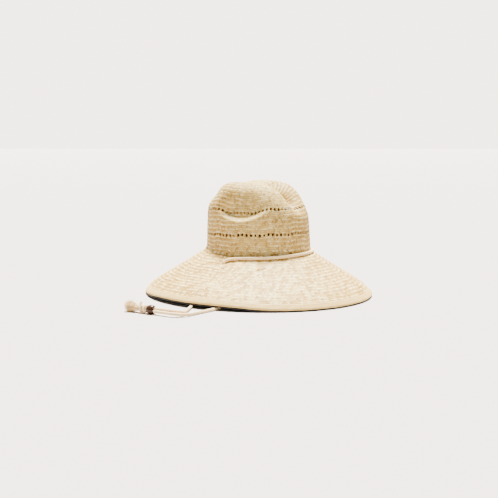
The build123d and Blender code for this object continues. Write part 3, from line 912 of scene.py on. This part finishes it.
def add_tassel(material, tassel_y):
    """The strands' ends, frayed into threads that fan out and rest on the floor."""
    bead_x, _, bead_z = BEAD_CENTRE
    threads, rings, sides, girth = 460, 14, 4, 0.33
    share = np.linspace(0, 1, rings)
    angle = chance.uniform(0, 2 * np.pi, threads)
    out = np.sqrt(chance.uniform(0, 1, threads))
    length = TASSEL_LENGTH * chance.uniform(0.62, 1.0, threads)
    wave = chance.uniform(0, 2 * np.pi, (threads, 2))
    curl = chance.uniform(4.0, 9.0, (threads, 1))
    width = TASSEL_NECK_RADIUS - 1.2 + (TASSEL_END_RADIUS - TASSEL_NECK_RADIUS + 0.4) * share**0.8
    sway, lift = ((0.4 + 1.8 * share) * share * np.sin(curl * share + phase[:, None]) for phase in wave.T)
    centre_z = bead_z + (TASSEL_END_RADIUS + 0.2 - bead_z) * share
    x = bead_x + (out * np.cos(angle))[:, None] * width + sway
    y = tassel_y - 1.5 + length[:, None] * share
    z = np.maximum(centre_z + (out * np.sin(angle))[:, None] * width + lift, girth + 0.25)
    turn = circle(sides)
    thick = girth * np.where(share > 0.96, 0.35, 1.0)[:, None]
    ring = np.stack([thick * np.cos(turn), thick * np.zeros(sides), thick * np.sin(turn)], -1)
    points = np.stack([x, y, z], -1)[:, :, None] + ring
    faces, uvs = tube_quads(threads, rings, sides, 0.2, 2.0)
    return [add_piece("tassel_threads", points, faces, material, uvs, ["cord_tassel"])]


BEAD_RADIUS, BEAD_BORE_RADIUS = 8.2, 5.8
BEAD_ROUNDNESS = 1.42  # 1 would round the bead's ends right down to its axis


def add_bead(material):
    """The turned bead: a barrel with well rounded ends, a bore, and faint turning lines."""
    bead_x, bead_y, bead_z = BEAD_CENTRE
    half = BEAD_LENGTH / 2 + 0.2
    barrel_y = half * np.sin(np.linspace(-np.pi / 2, np.pi / 2, 44))
    barrel_r = (BEAD_RADIUS + 0.1) * np.sqrt(1 - (barrel_y / (half * BEAD_ROUNDNESS)) ** 2)
    lines = 0.03 * np.sin(barrel_y * 9.0) * np.cos(barrel_y / half * np.pi / 2)
    bore_y = np.linspace(half - 0.5, -half + 0.5, 12)
    y = np.concatenate([barrel_y, bore_y])[:, None]
    r = np.concatenate([barrel_r + lines, np.full(12, BEAD_BORE_RADIUS + 0.05)])[:, None]
    columns = 72
    around = circle(columns)
    points = np.stack(np.broadcast_arrays(bead_x + r * np.cos(around), bead_y + y,
                                          bead_z + r * np.sin(around)), -1)
    faces, _ = grid_quads(len(y), columns, closed_rows=True)
    add_piece("turned_bead", points, faces, material, stands_for=["chin_bead"], body="bead")


# ---- light, floor and backdrop ----
SUN_DIRECTION, SUN_STRENGTH, SUN_SPREAD = (0.24, 0.15, 1.0), 30.0, 11.0
SKY_STRENGTH, LIGHT_COLOUR = 0.35, (1.0, 0.975, 0.94)
FLOOR_TONE = (0.52, 0.478, 0.445)
# places and sizes of the stage are in metres
FLOOR_REACH, BACKDROP_DISTANCE, BACKDROP_SIZE = 14.0, 6.0, 16.0
SURROUND_RADIUS, SURROUND_SIDES = 10.5, 48


def add_light():
    """A sun with a wide disc, so that its shadows are soft, and an even sky."""
    data = bpy.data.lights.new("key", "SUN")
    data.energy = SUN_STRENGTH
    data.angle = math.radians(SUN_SPREAD)
    data.color = LIGHT_COLOUR
    sun = link("key", data)
    sun.rotation_mode = "QUATERNION"
    sun.rotation_quaternion = Vector(SUN_DIRECTION).to_track_quat("Z", "Y")
    sky = bpy.data.worlds.new("studio")
    sky.use_nodes = True
    background = sky.node_tree.nodes["Background"]
    background.inputs["Color"].default_value = (*LIGHT_COLOUR, 1)
    background.inputs["Strength"].default_value = SKY_STRENGTH
    bpy.context.scene.world = sky


def stage_sheet(name, material, corners, faces=((0, 1, 2, 3),)):
    """A sheet that isn't part of the object."""
    mesh = bpy.data.meshes.new(name)
    mesh.from_pydata([tuple(c) for c in corners], [], faces)
    mesh.materials.append(material)
    sheet = link(name, mesh)
    return sheet


def add_stage():
    """Pale paper on the floor, and far behind the hat a backdrop as bright as that paper.
    The surround only closes the view to the other sides, and gives no light."""
    paper = Nodes("studio_paper", roughness=1.0, specular=0.0, more={"Base Color": (*FLOOR_TONE, 1)})
    stage_sheet("studio_floor", paper.material,
                [(x * FLOOR_REACH, y * FLOOR_REACH, 0) for x, y in ((-1, -1), (1, -1), (1, 1), (-1, 1))])
    brightness = SUN_STRENGTH * Vector(SUN_DIRECTION).normalized().z / math.pi + SKY_STRENGTH
    glow = [tone * colour * brightness for tone, colour in zip(FLOOR_TONE, LIGHT_COLOUR)]
    light = {"Base Color": (0, 0, 0, 1), "Emission Color": (*[c / max(glow) for c in glow], 1),
             "Emission Strength": max(glow)}
    back = Nodes("studio_backdrop", roughness=1.0, specular=0.0, more=light)
    a = math.radians(VIEW_AZIMUTH)
    middle = Vector((-math.sin(a), math.cos(a), 0)) * BACKDROP_DISTANCE
    side = Vector((math.cos(a), math.sin(a), 0)) * BACKDROP_SIZE / 2
    up = Vector((0, 0, BACKDROP_SIZE / 4))
    corners = [middle - side, middle + side, middle + side + up, middle - side + up]
    stage_sheet("studio_backdrop", back.material, corners).visible_shadow = False
    around = [(SURROUND_RADIUS * math.cos(turn), SURROUND_RADIUS * math.sin(turn))
              for turn in np.linspace(0, 2 * math.pi, SURROUND_SIDES, endpoint=False)]
    corners = [(x, y, z) for z in (0, BACKDROP_SIZE / 4) for x, y in around]
    after = [(k + 1) % SURROUND_SIDES for k in range(SURROUND_SIDES)]
    faces = [(k, j, j + SURROUND_SIDES, k + SURROUND_SIDES) for k, j in enumerate(after)]
    surround = stage_sheet("studio_surround", back.material, corners, faces)
    for ray in ("shadow", "diffuse", "glossy"):
        setattr(surround, "visible_" + ray, False)


def give_material(node, material):
    """A CAD node that stays visible takes a better material."""
    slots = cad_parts[node].data.materials
    slots.clear()
    slots.append(material)


# ---- build ----
add_camera()
cord_yarn = cotton_material("cord_yarn", (1.0, 0.82, 0.50), (0.80, 0.52, 0.22))
frayed_yarn = cotton_material("frayed_yarn", (0.95, 0.73, 0.36), (0.66, 0.42, 0.13))
band_cotton = cotton_material("band_cotton", (0.74, 0.66, 0.50), (0.62, 0.53, 0.38))
# Painted shade: the crown's tint darkens it against the brim, and the inner side's tints darken and brown
# the straw for the dim light inside the hat.
straw = straw_material("woven_straw", (0.81, 0.80, 0.66))
inner_straw = straw_material("woven_straw_inside_painted_shade", (0.80, 0.52, 0.26), (0.85, 0.65, 0.4))
tape = tape_material()
black = black_material()

add_cord(cord_yarn, frayed_yarn)
add_straw(straw, inner_straw)
add_loose_ends(cotton_material("loose_straw", (0.80, 0.50, 0.14), (0.50, 0.27, 0.06)))
add_tape(tape, cord_yarn)
add_piping(black)
add_lining(black)
add_sweatband(band_cotton, cord_yarn)
give_material("edge_wire", metal_material("spring_wire", (0.55, 0.55, 0.56), 0.3))
give_material("wire_joiner", metal_material("joiner_brass", (0.78, 0.58, 0.28), 0.35))

add_stage()
add_light()
